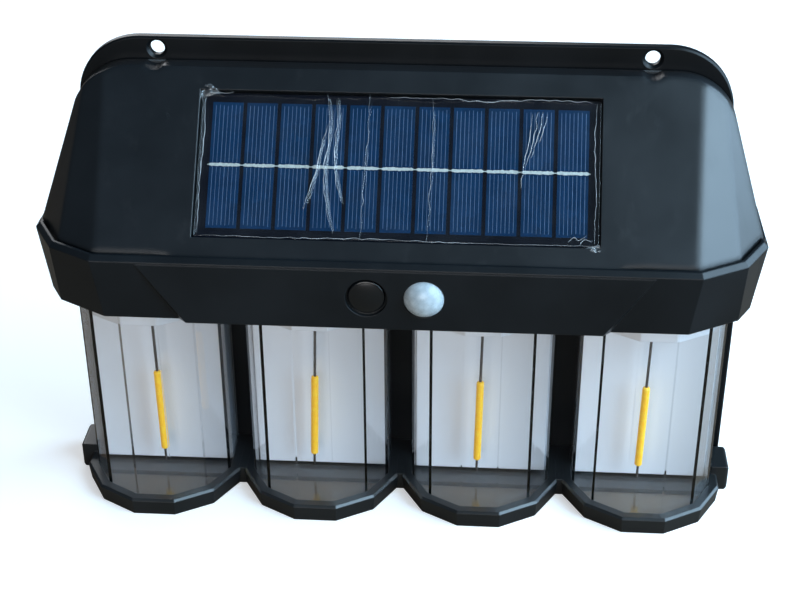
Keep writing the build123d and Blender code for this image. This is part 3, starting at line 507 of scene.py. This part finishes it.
CAD_LOOKS = {
    "back_plate": "plate", "head_cover": "shell", "fascia_housing": "fascia", "base_tray": "tray",
    "lamp_deck": "inner", "head_gasket": "seal", "filament_sockets": "inner", "solar_board": "panel",
    "solar_cells": "cells", "panel_resin": "resin", "push_button": "button", "switch_body": "component",
    "switch_plunger": "component", "sensor_lens": "lens", "motion_sensor": "can", "control_board": "board",
    "board_components": "component", "board_screws": "screw", "battery_cell": "sleeve",
    "battery_holder": "inner", "battery_contacts": "nickel", "battery_spring": "nickel",
    "panel_wires": "wire", "battery_wires": "wire", "lamp_wires": "wire", "housing_screws": "screw",
    "base_screws": "screw", "filament_leads": "lead",
}
EDGES = {}
for bay in BAYS:
    CAD_LOOKS[f"lamp_shade_{bay}"] = "shade"
    CAD_LOOKS[f"lamp_insert_{bay}"] = "insert"
    CAD_LOOKS[f"filament_{bay}"] = "filament"
    EDGES[f"lamp_shade_{bay}"] = SHADE_EDGE
    EDGES[f"lamp_insert_{bay}"] = INSERT_EDGE

for node_name, look in CAD_LOOKS.items():
    paint(nodes[node_name], look)
for node_name, width in EDGES.items():
    soften(nodes[node_name], width)


# ---- pieces built here ----

def middle(node):
    low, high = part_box(node)
    return (low + high) / 2


film_low, film_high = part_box("panel_film")
TILT = math.atan2(film_high.z - film_low.z, film_high.y - film_low.y)
ACROSS = Vector((1, 0, 0))
UP_SLOPE = Vector((0, math.cos(TILT), math.sin(TILT)))
OUTWARD = Vector((0, -math.sin(TILT), math.cos(TILT)))
FILM_MIDDLE = middle("panel_film")
FILM_HALF_X = (film_high.x - film_low.x) / 2 / MM
FILM_HALF_Y = (film_high.y - film_low.y) / math.cos(TILT) / 2 / MM
CELL_LEVEL = (middle("solar_cells") - FILM_MIDDLE).dot(OUTWARD) / MM + 0.1


def on_slope(x, y, level):
    """Point on the panel from millimetres across, up the slope and outward, about the film's middle."""
    return FILM_MIDDLE + (ACROSS * x + UP_SLOPE * y + OUTWARD * level) * MM


def piece_from(name, mesh_data, look):
    """New object from (vertices, faces), riding on the housing."""
    mesh = bpy.data.meshes.new(name)
    mesh.from_pydata([tuple(v) for v in mesh_data[0]], [], mesh_data[1])
    mesh.update()
    obj = bpy.data.objects.new(name, mesh)
    bpy.context.scene.collection.objects.link(obj)
    paint(obj, look)
    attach(obj, "housing")
    return obj


def slab_strip(verts, faces, outline_low, outline_high, bottom, top):
    """Append a closed strip between two matching edge lines given as (x, y) on the slope."""
    start, count = len(verts), len(outline_low)
    for x, y in outline_low + outline_high:
        verts.append(on_slope(x, y, bottom))
    for x, y in outline_low + outline_high:
        verts.append(on_slope(x, y, top))
    over = 2 * count
    for k in range(count - 1):
        a, b, c, d = start + k, start + k + 1, start + count + k + 1, start + count + k
        faces.append((d, c, b, a))
        faces.append((a + over, b + over, c + over, d + over))
        faces.append((a, b, b + over, a + over))
        faces.append((c, d, d + over, c + over))
    for k, flip in ((0, False), (count - 1, True)):
        end = (start + count + k, start + k, start + k + over, start + count + k + over)
        faces.append(tuple(reversed(end)) if flip else end)


def cell_fingers():
    """Thin printed lines along each cell, in two halves above and below the ribbon."""
    verts, faces = [], []
    rng = random.Random(SEED)
    reach = CELL_HEIGHT / 2 - FINGER_END
    for k in range(CELL_COUNT):
        centre = CELL_PITCH * (k - (CELL_COUNT - 1) / 2)
        for j in range(FINGERS):
            x = centre + (j - (FINGERS - 1) / 2) * CELL_WIDTH / (FINGERS + 0.6)
            for low, high in ((-reach, -FINGER_SPLIT), (FINGER_SPLIT, reach)):
                ends = (low + rng.uniform(0, FINGER_SHORT), high - rng.uniform(0, FINGER_SHORT))
                half = FINGER_WIDTH / 2 * rng.uniform(0.8, 1.15)
                left = [(x - half, ends[0]), (x - half, ends[1])]
                right = [(x + half, ends[0]), (x + half, ends[1])]
                slab_strip(verts, faces, left, right, CELL_LEVEL - SUNK, CELL_LEVEL + FINGER_T)
    piece_from("cell_fingers", (verts, faces), "fingers")


def cell_ribbon():
    """Tinned ribbon with ragged solder edges, thinned to a thread in the gaps between the cells."""
    verts, faces = [], []
    rng = random.Random(SEED + 1)
    reach = CELL_WIDTH / 2 + RIBBON_OVER
    for k in range(CELL_COUNT):
        centre = CELL_PITCH * (k - (CELL_COUNT - 1) / 2)
        lower, upper = [], []
        for i in range(RIBBON_STEPS + 1):
            x = centre - reach + 2 * reach * i / RIBBON_STEPS
            pinch = min(1.0, 0.6 + 0.2 * min(i, RIBBON_STEPS - i))
            ragged = 0.09 * rng.uniform(-1, 1) + 0.16 * noise.noise(Vector((x * 0.9, 3.1 * k, 0)))
            ragged_up = 0.09 * rng.uniform(-1, 1) + 0.16 * noise.noise(Vector((x * 0.9, 3.1 * k, 9)))
            lower.append((x, -(RIBBON_HALF + ragged) * pinch))
            upper.append((x, (RIBBON_HALF + ragged_up) * pinch))
        slab_strip(verts, faces, upper, lower, CELL_LEVEL - SUNK, CELL_LEVEL + RIBBON_T)
    half = CELL_PITCH * CELL_COUNT / 2
    thread_low = [(-half, THREAD_HALF), (half, THREAD_HALF)]
    thread_high = [(-half, -THREAD_HALF), (half, -THREAD_HALF)]
    slab_strip(verts, faces, thread_low, thread_high, CELL_LEVEL - SUNK, CELL_LEVEL + THREAD_T)
    ribbon = piece_from("cell_ribbon", (verts, faces), "ribbon")
    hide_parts("cell_tabbing")


# Long creases in the film, each a run of (across, up) points in millimetres
CREASES = (
    ((-20.4, 20.6), (-19.4, 15.0), (-19.3, 8.0), (-20.2, 1.0), (-19.9, -6.0), (-18.9, -13.0), (-17.2, -19.0)),
    ((-17.6, 19.4), (-17.1, 13.0), (-17.6, 6.0), (-17.4, -1.0), (-16.2, -7.0), (-15.0, -10.6)),
    ((-19.6, 12.0), (-21.3, 6.0), (-22.6, -1.0), (-24.2, -8.0), (-25.6, -12.0)),
)
# Curled edges of the film and torn shreds near its corners, in the same way
FILM_EDGES = (
    ((-4.0, 20.2), (12.0, 20.4), (24.0, 19.8), (38.0, 20.5), (53.6, 20.3)),
    ((-53.8, -20.4), (-30.0, -20.7), (-6.0, -20.3), (20.0, -20.8), (54.0, -20.5)),
    ((-54.6, -19.8), (-54.9, -6.0), (-54.5, 8.0), (-54.8, 19.6)),
    ((54.4, -20.0), (54.7, -6.0), (54.3, 8.0), (54.6, 19.8)),
)
FILM_SHREDS = (
    ((-54.4, 19.6), (-52.2, 20.6), (-49.4, 20.2), (-46.8, 20.8)),
    ((47.2, -19.6), (49.0, -18.2), (50.4, -19.2), (52.6, -17.8)),
    ((50.8, -20.4), (52.0, -19.0), (53.8, -19.4)),
    ((36.8, 17.0), (36.0, 9.0), (34.7, 0.5), (34.3, -4.5)),
    ((38.4, 17.2), (37.4, 10.0), (35.4, 1.0)),
    ((40.0, 17.0), (38.8, 11.6), (36.8, 4.0)),
    ((41.2, 16.4), (40.2, 12.4), (38.9, 8.6)),
)
# Crumpled flaps at two corners: four corner points around each flap and its lift
FILM_FLAPS = (
    (((-56.6, 18.4), (-50.6, 20.4), (-51.6, 21.6), (-54.4, 24.2)), 0.9),
    (((50.6, -21.6), (55.8, -20.2), (56.6, -22.4), (53.0, -22.8)), 0.8),
)
FAINT_CREASES = (
    ((-8.6, 20.8), (-8.8, 4.0), (-9.6, -20.4)),
    ((9.2, 20.4), (9.4, 2.0), (8.8, -20.6)),
)


def along(points, steps):
    """Points evenly spread on a smooth curve through the given ones."""
    line = []
    last = len(points) - 1
    for i in range(steps + 1):
        t = i / steps * last
        k = min(int(t), last - 1)
        f = t - k
        p = [Vector((*points[min(max(k + d, 0), last)], 0)) for d in (-1, 0, 1, 2)]
        value = 0.5 * (2 * p[1] + (p[2] - p[0]) * f + (2 * p[0] - 5 * p[1] + 4 * p[2] - p[3]) * f ** 2
                       + (3 * p[1] - p[0] - 3 * p[2] + p[3]) * f ** 3)
        line.append((value.x, value.y))
    return line


def distance_to(line, x, y):
    """Distance from a point to a polyline, and how far along it the nearest place is."""
    best, share = 1e9, 0.0
    for k in range(len(line) - 1):
        (ax, ay), (bx, by) = line[k], line[k + 1]
        dx, dy = bx - ax, by - ay
        t = max(0.0, min(1.0, ((x - ax) * dx + (y - ay) * dy) / (dx * dx + dy * dy)))
        gap = math.hypot(x - ax - t * dx, y - ay - t * dy)
        if gap < best:
            best, share = gap, (k + t) / (len(line) - 1)
    return best, share


def crease_lines():
    """The long creases as (curve, height, width)."""
    return [(along(points, CURVE_STEPS), CREASE_HEIGHT, CREASE_WIDTH) for points in CREASES]


def film_height(x, y, lines):
    """Film level over the recess: sagging middle, lifted rim, slow waves and the creases."""
    rim_x = max(0.0, 1 - (FILM_HALF_X - abs(x)) / FILM_RIM)
    rim_y = max(0.0, 1 - (FILM_HALF_Y - abs(y)) / FILM_RIM)
    level = FILM_RIM_LIFT * max(rim_x, rim_y) ** 1.5
    level += FILM_WAVE * noise.noise(Vector((x * 0.11, y * 0.11, 4.0)))
    level += FILM_RIPPLE * noise.noise(Vector((x * 0.5, y * 0.5, 8.0)))
    for line, height, width in lines:
        gap, share = distance_to(line, x, y)
        if gap < 4 * width:
            taper = math.sin(math.pi * (0.06 + 0.88 * share)) ** 0.5
            level += height * taper * math.exp(-(gap / width) ** 2)
    return level


# Sides of the film
LEFT, TOP, RIGHT, BOTTOM = range(4)


def torn(side, t):
    """How far the film's edge falls short at a side, at position t along it in millimetres."""
    rough = 0.35 * noise.noise(Vector((t * 0.35, side * 7.0, 1.0)))
    rough += 0.18 * noise.noise(Vector((t * 1.7, side, 2)))
    if side == TOP:
        return 1.2 + 0.9 * noise.noise(Vector((t * 0.06, 5.0, 0))) + rough
    if side == BOTTOM:
        return 0.35 + rough * 0.8
    return 0.25 + 0.4 * abs(rough)


def thicken(piece):
    """Give a single sheet the film's thickness."""
    thick = piece.modifiers.new("thickness", "SOLIDIFY")
    thick.thickness = FILM_T * MM
    thick.offset = 0


def protective_film():
    """Wrinkled film over the panel with torn edges."""
    columns = int(2 * FILM_HALF_X / FILM_STEP)
    rows = int(2 * FILM_HALF_Y / FILM_STEP)
    lines = crease_lines()
    lines += [(along(points, 10), FAINT_HEIGHT, FAINT_WIDTH) for points in FAINT_CREASES]
    verts, faces = [], []
    for j in range(rows + 1):
        for i in range(columns + 1):
            s, t = i / columns, j / rows
            x, y = FILM_HALF_X * (2 * s - 1), FILM_HALF_Y * (2 * t - 1)
            left, right = torn(LEFT, y), torn(RIGHT, y)
            top, bottom = torn(TOP, x), torn(BOTTOM, x)
            x = -FILM_HALF_X + left + (2 * FILM_HALF_X - left - right) * s
            y = -FILM_HALF_Y + bottom + (2 * FILM_HALF_Y - top - bottom) * t
            verts.append(on_slope(x, y, film_height(x, y, lines)))
    for j in range(rows):
        for i in range(columns):
            a = j * (columns + 1) + i
            faces.append((a, a + 1, a + columns + 2, a + columns + 1))
    film = piece_from("protective_film", (verts, faces), "film")
    film.data.shade_smooth()
    thicken(film)
    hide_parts("panel_film")


def wavy(points, steps, sway, seed):
    """A smooth curve through the points that sways from side to side by up to `sway` millimetres."""
    return [(x + sway * noise.noise(Vector((x * 0.4, y * 0.4, seed))),
             y + sway * noise.noise(Vector((x * 0.4, y * 0.4, seed + 5.0)))) for x, y in along(points, steps)]


def fold_strip(name, points, width, height, wobble, steps=60, sway=0.5):
    """A sharp folded ridge along a line: three-sided, tapered at both ends."""
    line = wavy(points, steps, sway, width * 10)
    verts, faces = [], []
    rng = random.Random(name)
    lines = crease_lines()
    for k, (x, y) in enumerate(line):
        after, before = line[min(k + 1, steps)], line[max(k - 1, 0)]
        nx, ny = after[0] - before[0], after[1] - before[1]
        length = math.hypot(nx, ny)
        nx, ny = -ny / length, nx / length
        taper = max(0.12, math.sin(math.pi * (0.03 + 0.94 * k / steps)) ** 0.6)
        half = width / 2 * taper * rng.uniform(0.8, 1.2)
        lift = height * taper * rng.uniform(0.75, 1.25)
        lean = wobble * math.sin(k * 0.4) * taper
        base = film_height(x, y, lines) - 0.1
        verts.append(on_slope(x - nx * half, y - ny * half, base))
        verts.append(on_slope(x + nx * lean, y + ny * lean, base + lift))
        verts.append(on_slope(x + nx * half, y + ny * half, base))
    for k in range(steps):
        for i in range(3):
            a, b = 3 * k + i, 3 * k + (i + 1) % 3
            faces.append((a, b, b + 3, a + 3))
    faces.append((2, 1, 0))
    faces.append((3 * steps, 3 * steps + 1, 3 * steps + 2))
    fold = piece_from(name, (verts, faces), "fold")
    fold.data.shade_smooth()


def crumpled_flap(name, outline, lift, seed, steps=10):
    """Small four-sided piece of film, bent up and crumpled."""
    a, b, c, d = (Vector((*point, 0)) for point in outline)
    verts, faces = [], []
    for j in range(steps + 1):
        for i in range(steps + 1):
            s, t = i / steps, j / steps
            spot = (a * (1 - s) + b * s) * (1 - t) + (d * (1 - s) + c * s) * t
            crumple = noise.noise(Vector((s * 3.1, t * 3.1, seed * 7.0)))
            level = FLAP_LEVEL + lift * (0.5 + crumple) * math.sin(math.pi * (0.15 + 0.7 * t))
            verts.append(on_slope(spot.x + 0.4 * crumple, spot.y, level))
    for j in range(steps):
        for i in range(steps):
            k = j * (steps + 1) + i
            faces.append((k, k + 1, k + steps + 2, k + steps + 1))
    flap = piece_from(name, (verts, faces), "flap")
    thicken(flap)


cell_fingers()
cell_ribbon()
protective_film()
for number, points in enumerate(CREASES, start=1):
    fold_strip(f"film_fold_{number}", points, width=0.26, height=0.26, wobble=0.08)
for number, points in enumerate(FAINT_CREASES, start=1):
    fold_strip(f"film_crease_{number}", points, width=0.16, height=0.12, wobble=0.03)
for number, points in enumerate(FILM_EDGES, start=1):
    fold_strip(f"film_edge_{number}", points, width=0.22, height=0.3, wobble=0.06, steps=110, sway=0.4)
for number, (outline, lift) in enumerate(FILM_FLAPS, start=1):
    crumpled_flap(f"film_flap_{number}", outline, lift, number)
for number, points in enumerate(FILM_SHREDS, start=1):
    fold_strip(f"film_shred_{number}", points, width=0.24, height=0.24, wobble=0.08, steps=24)


# ---- stage: floor, light and camera ----

def pale_floor():
    """Wide pale floor, warm and dim where the object mirrors it."""
    mesh = bpy.data.meshes.new("floor")
    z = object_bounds()[0].z - FLOOR_GAP * MM
    corners = [(-FLOOR, -FLOOR, z), (FLOOR, -FLOOR, z), (FLOOR, FLOOR, z), (-FLOOR, FLOOR, z)]
    mesh.from_pydata(corners, [], [(0, 1, 2, 3)])
    floor = bpy.data.objects.new("floor", mesh)
    bpy.context.scene.collection.objects.link(floor)
    g = Graph("floor_paint")
    path = g.add("ShaderNodeLightPath")
    lit = g.add("ShaderNodeBsdfDiffuse", Color=(0.8, 0.8, 0.8, 1.0))
    glow = g.add("ShaderNodeEmission", Color=(0.97, 0.985, 1.0, 1.0), Strength=0.45)
    seen = g.add("ShaderNodeAddShader")
    g.tree.links.new(lit.outputs[0], seen.inputs[0])
    g.tree.links.new(glow.outputs[0], seen.inputs[1])
    mirrored = g.add("ShaderNodeBsdfDiffuse", Color=(0.2, 0.148, 0.108, 1.0))
    both = g.add("ShaderNodeMixShader", Fac=path.outputs["Is Camera Ray"])
    g.tree.links.new(mirrored.outputs[0], both.inputs[1])
    g.tree.links.new(seen.outputs[0], both.inputs[2])
    mesh.materials.append(g.finish(both))


def area_light(name, place, size, power, color):
    """Rectangular light at a place in metres, turned to the middle of the object."""
    data = bpy.data.lights.new(name, "AREA")
    data.shape = "RECTANGLE"
    data.size, data.size_y = size
    data.energy = power
    data.color = color
    light = bpy.data.objects.new(name, data)
    bpy.context.scene.collection.objects.link(light)
    light.location = place
    light.rotation_euler = (Vector(LIT_PLACE) - Vector(place)).to_track_quat("-Z", "Y").to_euler()


def world_light():
    """Dim bluish light from all around."""
    world = bpy.data.worlds.new("studio")
    bpy.context.scene.world = world
    world.use_nodes = True
    background = world.node_tree.nodes["Background"]
    background.inputs["Color"].default_value = (0.52, 0.7, 0.92, 1.0)
    background.inputs["Strength"].default_value = 0.12


def photo_camera():
    """Camera from its place, yaw, pitch and roll."""
    yaw, pitch, roll = (math.radians(a) for a in (CAMERA_YAW, CAMERA_PITCH, CAMERA_ROLL))
    ahead = Vector((-math.sin(yaw) * math.cos(pitch), math.cos(yaw) * math.cos(pitch), -math.sin(pitch)))
    right = ahead.cross(Vector((0, 0, 1))).normalized()
    up = right.cross(ahead)
    turned_right = math.cos(roll) * right + math.sin(roll) * up
    turned_up = math.cos(roll) * up - math.sin(roll) * right
    data = bpy.data.cameras.new("camera")
    data.lens = LENS
    data.sensor_width = SENSOR
    data.clip_start = 0.01
    camera = bpy.data.objects.new("camera", data)
    bpy.context.scene.collection.objects.link(camera)
    camera.matrix_world = Matrix((turned_right, turned_up, -ahead)).transposed().to_4x4()
    camera.location = CAMERA_PLACE
    bpy.context.scene.camera = camera


pale_floor()
world_light()
area_light("window", (1.25, -0.15, 0.5), size=(2.2, 1.3), power=68, color=(0.52, 0.77, 1.0))
area_light("front", (-0.15, -1.7, 0.35), size=(1.4, 0.6), power=14, color=(1.0, 0.97, 0.95))
area_light("above", (0.95, -0.6, 1.15), size=(1.0, 0.8), power=16, color=(0.58, 0.82, 1.0))
area_light("rear", (-0.5, 1.5, 0.5), size=(1.2, 0.8), power=9, color=(0.95, 0.97, 1.0))
photo_camera()
bpy.context.scene.view_settings.view_transform = "Standard"
